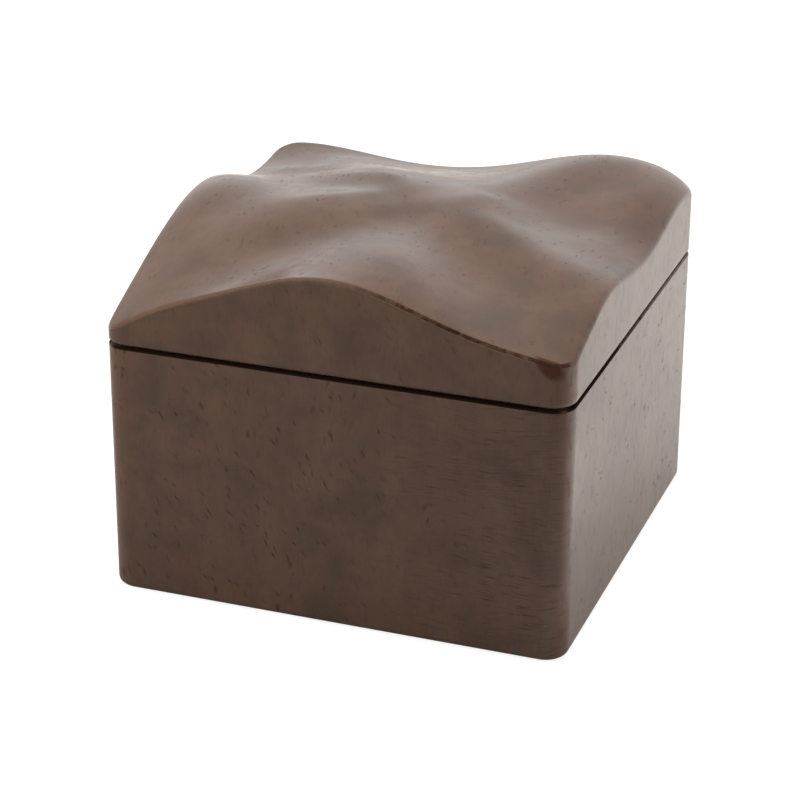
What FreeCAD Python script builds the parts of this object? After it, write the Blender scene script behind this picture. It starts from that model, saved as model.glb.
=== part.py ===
"""Shogi piece box: a hollowed block of hardwood with a lift-off lid carved as a five-pointed star of ridges.

Millimetres. Origin at the middle of the underside, +X to the right along the front, +Y to the back, +Z up.
"""
import FreeCAD, Part
import math
import os

from FreeCAD import Vector

# ---- Outside of the box ----
box_width = 120.0          # across the front
box_depth = 118.0          # front to back
seam_height = 67.0         # underside to the middle of the seam
seam_gap = 0.8             # shadow gap between the body's rim and the lid
corner_radius = 6.0        # vertical corners of body and lid
foot_arris = 1.8           # rounding round the underside
seam_arris = 0.4           # bevel on both sides of the seam
carved_arris = 0.6         # bevel where the carved top meets the sides

# ---- Hollow and bottom ----
wall = 9.0                 # body wall, outside to hollow
hollow_radius = 3.0        # cutter radius in the hollow's corners
bottom_thickness = 5.0     # bottom board
rabbet_width = 4.0         # how far the bottom board reaches under the wall
bottom_arris = 0.3         # bevel round the bottom board's lower edge

# ---- Pegs that pin the bottom board ----
peg_radius = 1.1
peg_length = 14.0
peg_spacing = 60.0         # between the two pegs of one side

# ---- Lip boards that line the hollow and locate the lid ----
lip_thickness = 3.0
lip_rise = 4.4             # above the body's rim
lip_arris = 0.6            # bevel on the lip's top edges

# ---- Lid ----
lid_clearance = 0.3        # recess side to lip board
lid_blank_height = 40.0    # thickness of the block that the lid is carved from

# ---- Carved top ----
# Heights are above the middle of the seam. Each spoke runs from the star's middle to the rim. It is listed by its
# bearing (degrees from +X towards +Y, in a plan stretched to a square) with its height at each ring, in levels.
star_x = 2.0
star_y = 6.0
star_height = 24.5
star_softness = 0.15       # rounding of the star's middle, as a share of the way to the rim
outline_power = 6          # squareness of the rings between middle and rim
ring_shares = (0.18, 0.42, 0.72, 1.0)
level_height = 0.5         # one level of the spokes
spokes = {
    -167: (51, 49, 50, 41),    # left ridge
    -151: (52, 52, 46, 29),
    -137: (51, 50, 40, 19),    # front left hollow
    -127: (50, 47, 39, 25),
    -115: (48, 46, 42, 37),
    -103: (47, 47, 47, 47),
    -90: (46, 48, 50, 50),     # front ridge
    -74: (45, 46, 48, 42),
    -58: (46, 42, 37, 30),
    -43: (48, 42, 35, 28),     # front right hollow
    -29: (50, 46, 42, 37),     # right ridge
    -17: (50, 45, 40, 35),
    -6: (50, 43, 38, 31),      # right hollow
    12: (50, 41, 37, 31),
    34: (48, 41, 43, 39),
    45: (48, 43, 45, 43),      # back right ridge
    57: (48, 45, 46, 46),
    78: (47, 43, 39, 37),
    101: (47, 42, 34, 28),     # back hollow
    116: (48, 43, 34, 29),
    131: (50, 44, 35, 32),     # back left ridge
    141: (51, 44, 34, 28),
    152: (51, 46, 37, 27),     # left back hollow
    170: (50, 46, 43, 39),
}
carving_cells = 24         # squares across the net that the carved face is passed through
carving_margin = 3.0       # how far the carved face runs past the blank

# ---- Worked out from the values above ----
half_width = box_width / 2
half_depth = box_depth / 2
body_height = seam_height - seam_gap / 2
lid_base = seam_height + seam_gap / 2
hollow_width = box_width - 2 * wall
hollow_depth = box_depth - 2 * wall
lip_top = body_height + lip_rise


def rounded_block(size_x, size_y, low, high, radius):
    """Upright block centred on the origin, with its vertical corners rounded."""
    block = Part.makeBox(size_x, size_y, high - low, Vector(-size_x / 2, -size_y / 2, low))
    uprights = [edge for edge in block.Edges if abs(edge.tangentAt(edge.FirstParameter).z) > 0.99]
    return block.makeFillet(radius, uprights)


def edges_at(shape, height):
    """Edges of the shape that lie flat at one height."""
    box_tolerance = 1e-4
    return [
        edge for edge in shape.Edges
        if abs(edge.BoundBox.ZMin - height) < box_tolerance and abs(edge.BoundBox.ZMax - height) < box_tolerance
    ]


def peg_places():
    """Two pegs on each side, in the middle of the rabbet's shelf."""
    shelf_x = hollow_width / 2 + rabbet_width / 2
    shelf_y = hollow_depth / 2 + rabbet_width / 2
    along = (-peg_spacing / 2, peg_spacing / 2)
    places = [(side * shelf_x, y) for side in (-1, 1) for y in along]
    places += [(x, side * shelf_y) for side in (-1, 1) for x in along]
    return places


def pegs():
    """The pegs as separate solids, flush with the underside."""
    return [Part.makeCylinder(peg_radius, peg_length, Vector(x, y, 0)) for x, y in peg_places()]


def body_block():
    """Solid block, hollowed right through, with a rabbet beneath for the bottom board."""
    block = rounded_block(box_width, box_depth, 0, body_height, corner_radius)
    block = block.makeFillet(foot_arris, edges_at(block, 0))
    block = block.makeChamfer(seam_arris, edges_at(block, body_height))
    block = block.cut(rounded_block(hollow_width, hollow_depth, 0, body_height, hollow_radius))
    block = block.cut(bottom_blank())
    return block.cut(Part.makeCompound(pegs()))


def bottom_blank():
    """The bottom board before its edges are bevelled and its pegs are bored: also the shape of its rabbet."""
    return rounded_block(
        hollow_width + 2 * rabbet_width, hollow_depth + 2 * rabbet_width,
        0, bottom_thickness, hollow_radius + rabbet_width,
    )


def bottom_board():
    """Board that closes the hollow from below, flush with the underside."""
    board = bottom_blank()
    board = board.makeChamfer(bottom_arris, edges_at(board, 0))
    return board.cut(Part.makeCompound(pegs()))


def lip_frame():
    """The four lip boards as one ring, before it is parted at the mitres."""
    frame = rounded_block(hollow_width, hollow_depth, bottom_thickness, lip_top, hollow_radius)
    inner_x = hollow_width - 2 * lip_thickness
    inner_y = hollow_depth - 2 * lip_thickness
    core = Part.makeBox(
        inner_x, inner_y, lip_top - bottom_thickness, Vector(-inner_x / 2, -inner_y / 2, bottom_thickness),
    )
    frame = frame.cut(core)
    return frame.makeChamfer(lip_arris, edges_at(frame, lip_top))


def mitre_wedge(outer_a, outer_b):
    """Upright prism over one side of the frame, from outer corner to outer corner, cut at 45 degrees."""
    inner_a = outer_a - Vector(math.copysign(lip_thickness, outer_a.x), math.copysign(lip_thickness, outer_a.y))
    inner_b = outer_b - Vector(math.copysign(lip_thickness, outer_b.x), math.copysign(lip_thickness, outer_b.y))
    outline = Part.makePolygon([outer_a, outer_b, inner_b, inner_a, outer_a])
    return Part.Face(outline).extrude(Vector(0, 0, lip_top))


def lip_boards():
    """Front, right, back and left boards, mitred at the corners."""
    x = hollow_width / 2
    y = hollow_depth / 2
    corners = [Vector(-x, -y), Vector(x, -y), Vector(x, y), Vector(-x, y)]
    frame = lip_frame()
    boards = {}
    for index, side in enumerate(("front", "right", "back", "left")):
        wedge = mitre_wedge(corners[index], corners[(index + 1) % 4])
        boards["lip_board_" + side] = frame.common(wedge)
    return boards


def ring_curve(ring):
    """Smooth closed curve of one ring: its x is the bearing and its y the height."""
    bearings = []
    points = []
    for turn in (-360, 0, 360):
        for bearing, heights in spokes.items():
            bearings.append(bearing + turn)
            points.append(Vector(bearing + turn, heights[ring] * level_height, 0))
    curve = Part.BSplineCurve()
    curve.interpolate(Points=points, Parameters=bearings)
    return curve


def stretched(offset, low_reach, high_reach):
    """Offset from the star's middle as a share of its reach to the outline on that side."""
    return offset / (high_reach if offset > 0 else low_reach)


def through_stations(share, stations, heights):
    """Polynomial in the share of the way out that passes through a height at each station."""
    total = 0.0
    for index, height in enumerate(heights):
        weight = 1.0
        for other, station in enumerate(stations):
            if other != index:
                weight *= (share - station) / (stations[index] - station)
        total += weight * height
    return total


def carved_height(x, y, rings):
    """Height of the carved face above the middle of the seam."""
    across = stretched(x - star_x, half_width + star_x, half_width - star_x)
    along = stretched(y - star_y, half_depth + star_y, half_depth - star_y)
    ring = (abs(across) ** outline_power + abs(along) ** outline_power) ** (1 / outline_power)
    share = math.hypot(ring, star_softness) - star_softness
    share /= math.hypot(1.0, star_softness) - star_softness
    bearing = math.degrees(math.atan2(along, across))
    heights = [star_height] + [curve.value(bearing).y for curve in rings]
    return through_stations(share, (0.0,) + ring_shares, heights)


def above_carving():
    """Everything above the carved face: what the carver takes off the blank."""
    rings = [ring_curve(ring) for ring in range(len(ring_shares))]
    reach_x = half_width + carving_margin
    reach_y = half_depth + carving_margin
    net = []
    for column in range(carving_cells + 1):
        x = -reach_x + 2 * reach_x * column / carving_cells
        line = []
        for row in range(carving_cells + 1):
            y = -reach_y + 2 * reach_y * row / carving_cells
            line.append(Vector(x, y, seam_height + carved_height(x, y, rings)))
        net.append(line)
    surface = Part.BSplineSurface()
    surface.interpolate(net)
    return surface.toShape().extrude(Vector(0, 0, lid_blank_height))


def lid_block():
    """Lid: flush with the body, carved on top, with a shallow recess that lands on the lip boards."""
    lid = rounded_block(box_width, box_depth, lid_base, lid_base + lid_blank_height, corner_radius)
    lid = lid.makeChamfer(seam_arris, edges_at(lid, lid_base))
    lid = lid.cut(above_carving())
    carved_face = max(lid.Faces, key=lambda face: face.BoundBox.ZMax + face.Area)
    lid = lid.makeChamfer(carved_arris, carved_face.Edges)
    recess = rounded_block(
        hollow_width + 2 * lid_clearance, hollow_depth + 2 * lid_clearance,
        lid_base, lip_top, hollow_radius + lid_clearance,
    )
    return lid.cut(recess)


def build():
    """Every piece of the box by its node name."""
    pieces = {
        "body_block": body_block(),
        "bottom_board": bottom_board(),
        "bottom_pegs": Part.makeCompound(pegs()),
        "lid_block": lid_block(),
    }
    pieces.update(lip_boards())
    return pieces


os.makedirs("parts", exist_ok=True)
for name, shape in build().items():
    shape.exportStep("parts/" + name + ".step")
    print(name, "solids", len(shape.Solids), "valid", shape.isValid(), "volume", round(shape.Volume, 1))
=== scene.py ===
"""Looks of the shogi piece box: stained hardwood outside, oiled wood inside, on a white studio floor.

Metres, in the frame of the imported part: origin at the middle of the underside, +X right, +Y back, +Z up.
"""
import math

import bpy
from mathutils import Matrix, Vector

MM = 0.001

# ---- Camera, fitted to the corners, seam and outline in the photo ----
CAMERA_AZIMUTH = 19.70                # degrees from the front towards the right
CAMERA_ELEVATION = 24.10              # degrees above level
CAMERA_ROLL = 0.27                    # degrees
CAMERA_DISTANCE = 0.7067              # from the origin
CAMERA_OFFSET = (-0.0026, 0.03335)    # to the picture's right, and up
CAMERA_LENS = 118.5                   # millimetres
SENSOR_WIDTH = 36.0                   # millimetres

# ---- Studio ----
WHITE = (1.0, 1.0, 1.0)
WORLD_FILL = 0.12                     # light from all round, for what isn't mirrored
WORLD_MIRRORED = (0.5, 0.95)          # mirrored brightness on the left, and elsewhere
FLOOR_SIZE = 6.0
FLOOR_DROP = 0.2 * MM                 # below the box's underside
FLOOR_GREY = (0.38, 0.38, 0.38)
FLOOR_GLOW = 0.85                     # own light that the camera sees
# Painted light on the floor that only reflections see: its tint, a sweep from a painted shadow in front of
# the box to a glow behind it, and two painted pools of light on its right
FLOOR_PAINTED_GLOW_TINT = (1.0, 0.93, 0.86)        # colour of the mirrored floor
FLOOR_PAINTED_SWEEP = (0.02, 0.62)            # mirrored brightness in front of the box, and behind it
FLOOR_PAINTED_RIGHT = 0.28                    # added to the right of the box
FLOOR_PAINTED_CORNER = 0.50                   # added beside its near corner
LAMP_TARGET = Vector((0.0, 0.0, 0.05))
LAMPS = {                             # place, size, power in watts
    "key_back_right": ((0.80, 0.40, 0.55), 0.7, 1.6),
    "fill_left": ((-0.95, 0.0, 0.45), 0.7, 2.5),
    "front_near": ((-0.31, -0.35, 0.29), 0.2, 1.14),
    "side_flat": ((0.90, -0.07, 0.30), 0.3, 2.4),
    "overhead": ((0.0, 0.1, 1.05), 0.7, 6.8),
}

# ---- Colours ----
STAIN = (0.124, 0.058, 0.030)
STAIN_DARK = (0.045, 0.021, 0.012)
STAIN_RED = (0.145, 0.050, 0.026)
# Pale tone of the stain; also the colour of the painted highlight on the lid's front arris
STAIN_PALE_AND_PAINTED_HIGHLIGHT = (0.145, 0.073, 0.040)
STAIN_GREY = (0.092, 0.052, 0.031)
RIM_RED = (0.060, 0.020, 0.010)
# Painted shade line along the right part of the lid's front arris
ARRIS_PAINTED_SHADE = (0.028, 0.011, 0.006)
# Painted shade of the seam, laid on the outer edge and top of the body's rim
SEAM_PAINTED_SHADE = (0.020, 0.011, 0.007)
LIP_WOOD = ((0.235, 0.125, 0.066), (0.150, 0.074, 0.038))       # light and dark grain
BOTTOM_WOOD = ((0.260, 0.150, 0.085), (0.180, 0.096, 0.052))
PEG_WOOD = ((0.420, 0.290, 0.160), (0.280, 0.180, 0.095))

# ---- Finish ----
PLAIN_SPECULAR = 0.35
SATIN_IOR = 1.55
SATIN_SPECULAR = 0.53
SATIN_ROUGHNESS = (0.12, 0.22)        # from least to most mottled
BODY_SOFT_EDGE = 0.6 * MM             # arrises shade as if they were rounded to this radius
LID_SOFT_EDGE = 1.8 * MM
RELIEF = 0.05 * MM                    # depth of the pores

# ---- Flecks: size in mm, share of the cells that hold one, lean from upright in degrees ----
LONG_FLECKS = ((0.42, 2.0, 3.4), 0.18, 20.0)
SHORT_FLECKS = ((0.52, 2.0, 1.9), 0.42, 38.0)
UPRIGHT_FLECKS = ((0.9, 2.2, 2.2), 0.24, 0.0)
LEVEL_FLECKS = ((3.6, 3.6, 0.32), 0.5, 0.0)
CELL_PER_FLECK = 2.2                  # size of a cell against its fleck

# ---- Places of the marks and of the painted light and shade: each from where it sets in to where it is full ----
SIDE_FACE_X = (0.0575, 0.0598)        # |x|, towards the left and the right face
LEVEL_FIGURE_X = (0.035, 0.075)
LEVEL_FIGURE_Y = (-0.050, -0.056)
CORNER_BAND_X = (0.0570, 0.0582)      # |x|
CORNER_BAND_Y = (0.0545, 0.0560)      # |y|
# Painted seam shade on the body's rim: where it sets in across the side faces, the front and back, and in
# height, and how it grows along the side faces
RIM_PAINTED_SHADE_X = (0.0572, 0.0592)         # |x|
RIM_PAINTED_SHADE_Y = (0.0562, 0.0582)         # |y|
RIM_PAINTED_SHADE_Z = (0.0661, 0.0663)
RIM_PAINTED_SHADE_GROWS_Y = (0.055, -0.045)    # along the left and the right face
LID_FRONT_Y = (-0.0570, -0.0578)
# Painted highlight on the left part of the lid's front arris, and painted shade on its right part
PAINTED_HIGHLIGHT_ARRIS_X = (0.012, -0.015)
PAINTED_SHADE_ARRIS_X = (-0.005, 0.020)
RED_MARK_X = (0.0546, 0.0034)         # middle and reach
RED_MARK_Z = (0.0780, 0.0028)
RED_MARK_SLANT = 0.7


# ---- Node helpers ----

def new_material(name):
    material = bpy.data.materials.new(name)
    material.use_nodes = True
    return material, material.node_tree, material.node_tree.nodes["Principled BSDF"]


def feed(tree, socket, value):
    """Links a socket, or sets a plain value, on an input socket."""
    if isinstance(value, bpy.types.NodeSocket):
        tree.links.new(value, socket)
    else:
        socket.default_value = value


def math_node(tree, operation, a, b=0.0, clamp=False):
    node = tree.nodes.new("ShaderNodeMath")
    node.operation = operation
    node.use_clamp = clamp
    feed(tree, node.inputs[0], a)
    feed(tree, node.inputs[1], b)
    return node.outputs[0]


def times(tree, a, b):
    return math_node(tree, "MULTIPLY", a, b)


def plus(tree, a, b):
    return math_node(tree, "ADD", a, b)


def minus(tree, a, b):
    return math_node(tree, "SUBTRACT", a, b)


def larger(tree, a, b):
    return math_node(tree, "MAXIMUM", a, b)


def ramp(tree, value, low, high, to_low=0.0, to_high=1.0):
    """Smooth step of a value from one range to another."""
    node = tree.nodes.new("ShaderNodeMapRange")
    node.interpolation_type = "SMOOTHSTEP"
    feed(tree, node.inputs["Value"], value)
    node.inputs["From Min"].default_value = low
    node.inputs["From Max"].default_value = high
    node.inputs["To Min"].default_value = to_low
    node.inputs["To Max"].default_value = to_high
    return node.outputs["Result"]


def blend(tree, factor, a, b):
    """Colour between a and b."""
    node = tree.nodes.new("ShaderNodeMix")
    node.data_type = "RGBA"
    feed(tree, node.inputs["Factor"], factor)
    for socket, colour in ((node.inputs["A"], a), (node.inputs["B"], b)):
        feed(tree, socket, (*colour, 1.0) if isinstance(colour, tuple) else colour)
    return node.outputs["Result"]


def object_coordinates(tree):
    return tree.nodes.new("ShaderNodeTexCoord").outputs["Object"]


def along(tree, axis):
    """One of the object coordinates: X, Y or Z."""
    node = tree.nodes.new("ShaderNodeSeparateXYZ")
    tree.links.new(object_coordinates(tree), node.inputs[0])
    return node.outputs[axis]


def off_middle(tree, axis):
    """Distance from the middle of the box along an axis, the same on both sides."""
    return math_node(tree, "ABSOLUTE", along(tree, axis))


def placed(tree, source, scale=(1.0, 1.0, 1.0), location=(0.0, 0.0, 0.0), lean=0.0):
    """A vector scaled, moved, and turned about Y by an angle in degrees."""
    node = tree.nodes.new("ShaderNodeMapping")
    node.inputs["Scale"].default_value = scale
    node.inputs["Location"].default_value = location
    node.inputs["Rotation"].default_value = (0.0, math.radians(lean), 0.0)
    tree.links.new(source, node.inputs["Vector"])
    return node.outputs["Vector"]


def per_mm(size):
    """Scale that makes one unit of a feature with this size in millimetres."""
    return tuple(1 / (length * MM) for length in size)


def noise(tree, size, source=None, detail=3.0, roughness=0.5, output="Fac"):
    """Noise with features of this size in millimetres, in object coordinates or another vector."""
    if source is None:
        source = object_coordinates(tree)
    node = tree.nodes.new("ShaderNodeTexNoise")
    node.inputs["Scale"].default_value = 1.0
    node.inputs["Detail"].default_value = detail
    node.inputs["Roughness"].default_value = roughness
    tree.links.new(placed(tree, source, per_mm(size)), node.inputs["Vector"])
    return node.outputs[output]


def swirled(tree, source, reach, size):
    """A vector pushed about by a noise, so that what follows it wanders. Reach and size are in mm."""
    drift = noise(tree, (size, size, size), source, detail=2.0, output="Color")
    node = tree.nodes.new("ShaderNodeVectorMath")
    node.operation = "MULTIPLY_ADD"
    tree.links.new(drift, node.inputs[0])
    node.inputs[1].default_value = (reach * MM,) * 3
    tree.links.new(source, node.inputs[2])
    return node.outputs[0]


def bumped(tree, height, strength, soft_edge=0.0):
    """Fine relief, on arrises that shade as if they were rounded to soft_edge."""
    node = tree.nodes.new("ShaderNodeBump")
    node.inputs["Strength"].default_value = strength
    node.inputs["Distance"].default_value = RELIEF
    tree.links.new(height, node.inputs["Height"])
    if soft_edge:
        bevel = tree.nodes.new("ShaderNodeBevel")
        bevel.samples = 8
        bevel.inputs["Radius"].default_value = soft_edge
        tree.links.new(bevel.outputs["Normal"], node.inputs["Normal"])
    return node.outputs["Normal"]


# ---- Stained wood ----

def flecks(tree, source, size, share, lean):
    """Scattered flecks: 1 in the middle of a fleck, 0 between them."""
    cells = tree.nodes.new("ShaderNodeTexVoronoi")
    cells.inputs["Scale"].default_value = 1.0
    cell_size = tuple(CELL_PER_FLECK * length for length in size)
    turned = placed(tree, source, lean=lean)
    tree.links.new(placed(tree, turned, per_mm(cell_size)), cells.inputs["Vector"])
    lottery = tree.nodes.new("ShaderNodeSeparateColor")
    tree.links.new(cells.outputs["Color"], lottery.inputs["Color"])
    chosen = ramp(tree, lottery.outputs["Red"], 1.0 - share, 1.0 - 0.7 * share)
    core = ramp(tree, cells.outputs["Distance"], 0.34, 0.06)
    return times(tree, core, chosen)


def wood_specks(tree, swirl, level_share):
    """Dark flecks in crowds: leaning or upright, and level where level_share says so."""
    ragged = swirled(tree, swirl, 1.6, 2.0)
    leaning = larger(tree, flecks(tree, ragged, *LONG_FLECKS), flecks(tree, ragged, *SHORT_FLECKS))
    speck = larger(tree, leaning, times(tree, flecks(tree, ragged, *UPRIGHT_FLECKS), 0.8))
    speck = times(tree, speck, minus(tree, 1.0, level_share))
    speck = plus(tree, speck, times(tree, flecks(tree, swirl, *LEVEL_FLECKS), level_share))
    crowd = ramp(tree, noise(tree, (13, 13, 13), swirl, detail=2.0), 0.36, 0.56, 0.2, 1.0)
    return math_node(tree, "MULTIPLY", speck, crowd, clamp=True)


def front_right_share(tree):
    """1 on the right part of the front, where the figure runs level."""
    drift = times(tree, noise(tree, (25, 25, 25)), 0.06)
    rightward = ramp(tree, plus(tree, along(tree, "X"), drift), *LEVEL_FIGURE_X)
    return times(tree, ramp(tree, along(tree, "Y"), *LEVEL_FIGURE_Y), rightward)


def stain_colour(tree, swirl, blotch, mottle, level_share):
    """Cloudy stain over fibres, with fine level lines where level_share says so."""
    bands = noise(tree, (11, 11, 60), swirl)
    fibre = noise(tree, (0.5, 0.5, 4.0), swirl, detail=2.0)
    lines = noise(tree, (6.0, 6.0, 0.40), swirl, detail=2.0)
    colour = blend(tree, ramp(tree, bands, 0.35, 0.68), STAIN, STAIN_PALE_AND_PAINTED_HIGHLIGHT)
    colour = blend(tree, blotch, colour, STAIN_GREY)
    colour = blend(tree, ramp(tree, mottle, 0.45, 0.72, 0.0, 0.55), colour, STAIN_GREY)
    colour = blend(tree, ramp(tree, fibre, 0.50, 0.80, 0.0, 0.32), colour, STAIN_DARK)
    level_lines = times(tree, ramp(tree, lines, 0.54, 0.68, 0.0, 0.55), level_share)
    return blend(tree, level_lines, colour, STAIN_DARK)


def body_band_and_painted_seam_shade(tree, colour):
    """Narrow reddish band down the rounded corners, and painted shade of the seam on the outer edge and top
    of the rim.

    Returns how strongly the painted seam shade covers the surface too.
    """
    wide = off_middle(tree, "X")
    deep = off_middle(tree, "Y")
    band = times(tree, ramp(tree, wide, *CORNER_BAND_X), ramp(tree, deep, *CORNER_BAND_Y, 0.0, 0.4))
    colour = blend(tree, band, colour, STAIN_RED)
    # Painted shade of the seam on the outer edge and top of the rim, stronger towards the front of the side
    # faces
    grows = ramp(tree, along(tree, "Y"), *RIM_PAINTED_SHADE_GROWS_Y, 0.35, 1.0)
    outer = times(tree, ramp(tree, wide, *RIM_PAINTED_SHADE_X), grows)
    outer = larger(tree, outer, ramp(tree, deep, *RIM_PAINTED_SHADE_Y))
    painted_seam_shade = times(tree, outer, ramp(tree, along(tree, "Z"), *RIM_PAINTED_SHADE_Z))
    return blend(tree, painted_seam_shade, colour, SEAM_PAINTED_SHADE), painted_seam_shade


def front_arris(tree):
    """1 on surfaces that face half to the front and half up."""
    normal = tree.nodes.new("ShaderNodeSeparateXYZ")
    tree.links.new(tree.nodes.new("ShaderNodeNewGeometry").outputs["True Normal"], normal.inputs[0])
    forward = ramp(tree, normal.outputs["Y"], -0.42, -0.55)
    return times(tree, forward, ramp(tree, normal.outputs["Z"], 0.25, 0.40))


def from_middle(tree, axis, middle, reach):
    """Distance from the middle of a mark along an axis, in units of its reach."""
    return math_node(tree, "DIVIDE", minus(tree, along(tree, axis), middle), reach)


def red_mark(tree, ragged):
    """Ragged slanting patch on the lid's front, near its right corner."""
    aside = from_middle(tree, "X", *RED_MARK_X)
    above = plus(tree, from_middle(tree, "Z", *RED_MARK_Z), times(tree, aside, RED_MARK_SLANT))
    reach = plus(tree, math_node(tree, "POWER", aside, 2.0), math_node(tree, "POWER", above, 2.0))
    reach = plus(tree, reach, times(tree, ragged, 1.2))
    patch = ramp(tree, reach, 2.2, 1.0, 0.0, 0.75)
    return times(tree, patch, ramp(tree, along(tree, "Y"), *LID_FRONT_Y))


def lid_red_mark_and_painted_arris_light(tree, colour):
    """The carving's front arris: a painted highlight on the left and a painted shade line on the right,
    with a red mark at its right end.

    Returns how strongly the painted shade line and the red mark cover the surface too.
    """
    arris = front_arris(tree)
    ragged = noise(tree, (1.6, 1.6, 1.6), detail=4.0, roughness=0.65)
    # Painted highlight on the left part of the arris
    painted_highlight = times(tree, arris, ramp(tree, along(tree, "X"), *PAINTED_HIGHLIGHT_ARRIS_X, 0.0, 0.6))
    colour = blend(tree, painted_highlight, colour, STAIN_PALE_AND_PAINTED_HIGHLIGHT)
    # Painted shade line on the right part of the arris
    painted_shade_line = times(tree, arris, ramp(tree, along(tree, "X"), *PAINTED_SHADE_ARRIS_X, 0.0, 0.8))
    painted_shade_line = times(tree, painted_shade_line, ramp(tree, ragged, 0.30, 0.55, 0.45, 1.0))
    patch = red_mark(tree, ragged)
    colour = blend(tree, painted_shade_line, blend(tree, patch, colour, RIM_RED), ARRIS_PAINTED_SHADE)
    return colour, larger(tree, painted_shade_line, patch)


def stained_wood(name, offset, speck_strength, level_strength, blotch_strength, soft_edge, add_marks_and_painted_light):
    """Dark stained hardwood with a cloudy, flecked figure and a satin finish."""
    material, tree, shader = new_material(name)
    swirl = placed(tree, swirled(tree, object_coordinates(tree), 9.0, 30.0), location=offset)
    blotch = noise(tree, (17, 17, 13), swirl, detail=4.0, roughness=0.55)
    mottle = noise(tree, (4, 4, 6), swirl, detail=4.0)
    level_share = times(tree, front_right_share(tree), level_strength)
    side = ramp(tree, off_middle(tree, "X"), *SIDE_FACE_X)
    speck_share = ramp(tree, side, 0.0, 1.0, speck_strength, 0.5 * speck_strength)
    speck = times(tree, wood_specks(tree, swirl, level_share), speck_share)
    dashes = ramp(tree, noise(tree, (1.6, 1.6, 4.0), swirl, detail=2.0), 0.53, 0.66, 0.0, 0.20)

    blotch_share = ramp(tree, blotch, 0.46, 0.70, 0.0, blotch_strength)
    colour = stain_colour(tree, swirl, blotch_share, mottle, level_share)
    colour = blend(tree, times(tree, speck, 0.9), colour, STAIN_DARK)
    # The marks bring painted light and shade too: the seam shade on the body, the arris highlight and shade
    # line on the lid
    colour, marks_and_painted_shade = add_marks_and_painted_light(tree, colour)
    feed(tree, shader.inputs["Base Color"], colour)

    rough = ramp(tree, mottle, 0.3, 0.75, *SATIN_ROUGHNESS)
    rough = plus(tree, rough, times(tree, larger(tree, speck, marks_and_painted_shade), 0.45))
    feed(tree, shader.inputs["Roughness"], rough)
    feed(tree, shader.inputs["IOR"], SATIN_IOR)
    dull = plus(tree, times(tree, speck, 0.26), ramp(tree, blotch, 0.40, 0.70, 0.0, 0.10))
    dull = plus(tree, dull, plus(tree, times(tree, dashes, side), times(tree, marks_and_painted_shade, SATIN_SPECULAR)))
    specular = math_node(tree, "SUBTRACT", SATIN_SPECULAR, dull, clamp=True)
    feed(tree, shader.inputs["Specular IOR Level"], specular)
    height = minus(tree, times(tree, mottle, 2.5), speck)
    feed(tree, shader.inputs["Normal"], bumped(tree, height, 0.15, soft_edge))
    return material


# ---- Unstained wood ----

def plain_wood(name, colours, grain, roughness):
    """Straight-grained wood with a matt finish. Grain is the size of its features along each axis in mm."""
    light, dark = colours
    material, tree, shader = new_material(name)
    swirl = swirled(tree, object_coordinates(tree), 3.0, 40.0)
    bands = noise(tree, grain, swirl, detail=4.0, roughness=0.6)
    speck_size = tuple(max(0.3, 0.12 * length) for length in grain)
    speck = ramp(tree, noise(tree, speck_size, swirl, detail=2.0, roughness=0.6), 0.60, 0.75)
    cloud = noise(tree, (40, 40, 40), detail=2.0)
    colour = blend(tree, ramp(tree, bands, 0.35, 0.70), light, dark)
    colour = blend(tree, times(tree, speck, 0.45), colour, tuple(0.5 * part for part in dark))
    colour = blend(tree, ramp(tree, cloud, 0.3, 0.7, 0.0, 0.3), colour, dark)
    feed(tree, shader.inputs["Base Color"], colour)
    dullness = ramp(tree, bands, 0.3, 0.7, roughness - 0.06, roughness + 0.08)
    feed(tree, shader.inputs["Roughness"], dullness)
    feed(tree, shader.inputs["Specular IOR Level"], PLAIN_SPECULAR)
    feed(tree, shader.inputs["Normal"], bumped(tree, speck, -0.3))
    return material


def dress(nodes):
    """Gives every CAD node its material."""
    body_wood = stained_wood(
        "body_stained_wood", offset=(0.0, 0.0, 0.0), speck_strength=1.0, level_strength=1.0,
        blotch_strength=0.85, soft_edge=BODY_SOFT_EDGE, add_marks_and_painted_light=body_band_and_painted_seam_shade,
    )
    lid_wood = stained_wood(
        "lid_stained_wood", offset=(0.31, 0.17, 0.05), speck_strength=0.5, level_strength=0.0,
        blotch_strength=0.75, soft_edge=LID_SOFT_EDGE, add_marks_and_painted_light=lid_red_mark_and_painted_arris_light,
    )
    lip_wood_x = plain_wood("lip_wood_along_x", LIP_WOOD, (60, 3, 2.2), 0.5)
    lip_wood_y = plain_wood("lip_wood_along_y", LIP_WOOD, (3, 60, 2.2), 0.5)
    bottom_wood = plain_wood("bottom_wood", BOTTOM_WOOD, (70, 2.6, 3), 0.55)
    peg_wood = plain_wood("peg_wood", PEG_WOOD, (0.8, 0.8, 8), 0.6)
    chosen = {
        "body_block": body_wood,
        "lid_block": lid_wood,
        "lip_board_front": lip_wood_x,
        "lip_board_back": lip_wood_x,
        "lip_board_left": lip_wood_y,
        "lip_board_right": lip_wood_y,
        "bottom_board": bottom_wood,
        "bottom_pegs": peg_wood,
    }
    for name, material in chosen.items():
        nodes[name].data.materials.clear()
        nodes[name].data.materials.append(material)


# ---- Studio ----

def seen_directly(tree):
    """1 for rays from the camera."""
    return tree.nodes.new("ShaderNodeLightPath").outputs["Is Camera Ray"]


def seen_mirrored(tree):
    """1 for reflected and refracted rays."""
    path = tree.nodes.new("ShaderNodeLightPath")
    return larger(tree, path.outputs["Is Glossy Ray"], path.outputs["Is Transmission Ray"])


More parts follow.
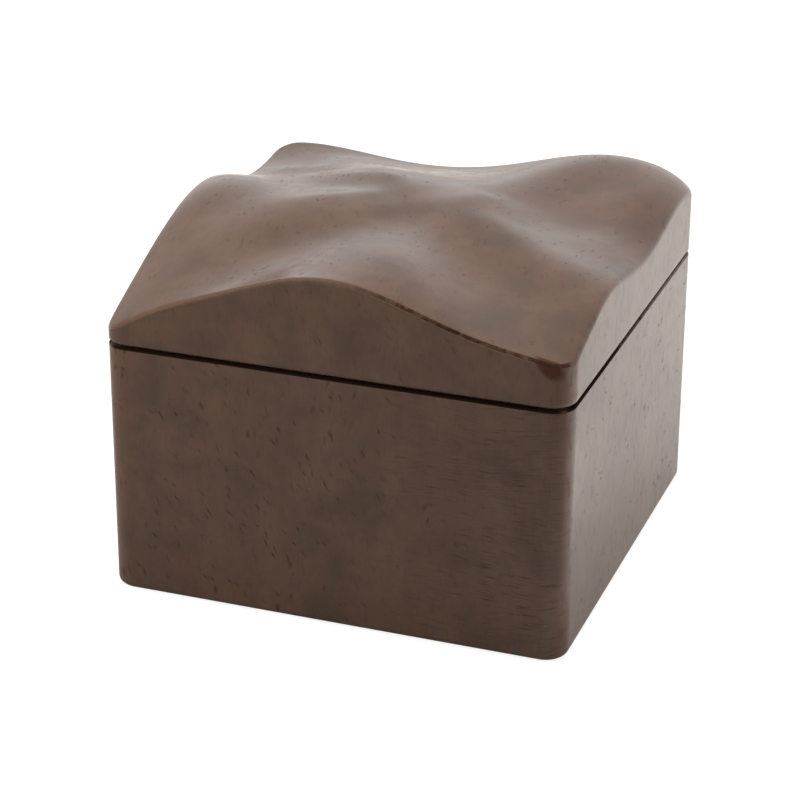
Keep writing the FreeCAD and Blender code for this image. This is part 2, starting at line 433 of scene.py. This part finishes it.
def make_world():
    """White to the eye; in reflections dimmer towards the left; a weak fill for the rest."""
    world = bpy.data.worlds.new("studio")
    bpy.context.scene.world = world
    world.use_nodes = True
    world.cycles.sampling_method = "NONE"
    tree = world.node_tree
    direction = tree.nodes.new("ShaderNodeSeparateXYZ")
    tree.links.new(tree.nodes.new("ShaderNodeTexCoord").outputs["Generated"], direction.inputs[0])
    reflected = ramp(tree, direction.outputs["X"], -1.0, -0.4, *WORLD_MIRRORED)
    strength = larger(tree, WORLD_FILL, times(tree, seen_mirrored(tree), reflected))
    strength = larger(tree, strength, seen_directly(tree))
    background = tree.nodes["Background"]
    feed(tree, background.inputs["Color"], (*WHITE, 1.0))
    feed(tree, background.inputs["Strength"], strength)


def painted_floor_glow(tree):
    """Painted light on the floor that only reflections see: bright behind the box and in two patches on its
    right, dim in front as a painted shadow of the box.
    """
    x = along(tree, "X")
    y = along(tree, "Y")
    sweep = ramp(tree, y, -0.1, 0.2, *FLOOR_PAINTED_SWEEP)
    right = times(tree, ramp(tree, x, 0.03, 0.09), ramp(tree, y, -0.20, -0.08, 0.0, FLOOR_PAINTED_RIGHT))
    corner = times(tree, ramp(tree, x, 0.07, 0.10), ramp(tree, y, -0.085, -0.035, 0.0, FLOOR_PAINTED_CORNER))
    corner = times(tree, corner, ramp(tree, y, 0.10, 0.02))
    return plus(tree, sweep, plus(tree, right, corner))


def make_floor():
    """Pale floor that the eye sees as white, apart from the box's own soft shadow; in reflections it glows
    with painted light and shadow.
    """
    bpy.ops.mesh.primitive_plane_add(size=FLOOR_SIZE, location=(0.0, 0.0, -FLOOR_DROP))
    floor = bpy.context.object
    floor.name = "floor"
    material, tree, shader = new_material("floor_white")
    material.cycles.emission_sampling = "NONE"
    feed(tree, shader.inputs["Base Color"], (*FLOOR_GREY, 1.0))
    feed(tree, shader.inputs["Roughness"], 0.9)
    feed(tree, shader.inputs["Specular IOR Level"], 0.0)
    eye = seen_directly(tree)
    feed(tree, shader.inputs["Emission Color"], blend(tree, eye, FLOOR_PAINTED_GLOW_TINT, WHITE))
    # Painted glow of the floor, seen in reflections
    painted_glow = times(tree, seen_mirrored(tree), painted_floor_glow(tree))
    feed(tree, shader.inputs["Emission Strength"], larger(tree, times(tree, eye, FLOOR_GLOW), painted_glow))
    floor.data.materials.append(material)


def add_lamp(name, place, size, power):
    """Soft square lamp aimed at the box, left out of reflections so that it shows no hard patch."""
    data = bpy.data.lights.new(name, "AREA")
    data.shape = "SQUARE"
    data.size = size
    data.energy = power
    lamp = bpy.data.objects.new(name, data)
    bpy.context.scene.collection.objects.link(lamp)
    lamp.location = place
    lamp.rotation_euler = (LAMP_TARGET - Vector(place)).to_track_quat("-Z", "Y").to_euler()
    lamp.visible_glossy = False


def make_camera():
    azimuth = math.radians(CAMERA_AZIMUTH)
    elevation = math.radians(CAMERA_ELEVATION)
    roll = math.radians(CAMERA_ROLL)
    back = Vector((
        math.sin(azimuth) * math.cos(elevation),
        -math.cos(azimuth) * math.cos(elevation),
        math.sin(elevation),
    ))
    level_right = (-back).cross(Vector((0.0, 0.0, 1.0))).normalized()
    level_up = level_right.cross(-back)
    right = level_right * math.cos(roll) + level_up * math.sin(roll)
    up = level_up * math.cos(roll) - level_right * math.sin(roll)
    data = bpy.data.cameras.new("camera")
    data.lens = CAMERA_LENS
    data.sensor_width = SENSOR_WIDTH
    data.clip_start = 0.01
    camera = bpy.data.objects.new("camera", data)
    bpy.context.scene.collection.objects.link(camera)
    place = back * CAMERA_DISTANCE + right * CAMERA_OFFSET[0] + up * CAMERA_OFFSET[1]
    turn = Matrix((right, up, back)).transposed().to_4x4()
    camera.matrix_world = Matrix.Translation(place) @ turn
    bpy.context.scene.camera = camera


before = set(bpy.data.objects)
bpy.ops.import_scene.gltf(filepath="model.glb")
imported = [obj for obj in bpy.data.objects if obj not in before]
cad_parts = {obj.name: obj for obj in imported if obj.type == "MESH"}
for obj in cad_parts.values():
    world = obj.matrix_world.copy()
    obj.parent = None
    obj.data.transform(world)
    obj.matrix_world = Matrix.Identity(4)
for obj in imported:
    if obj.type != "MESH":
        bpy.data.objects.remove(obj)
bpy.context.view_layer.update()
bpy.context.scene.view_settings.view_transform = "Standard"
dress(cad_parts)
make_world()
make_floor()
for name, (place, size, power) in LAMPS.items():
    add_lamp(name, place, size, power)
make_camera()
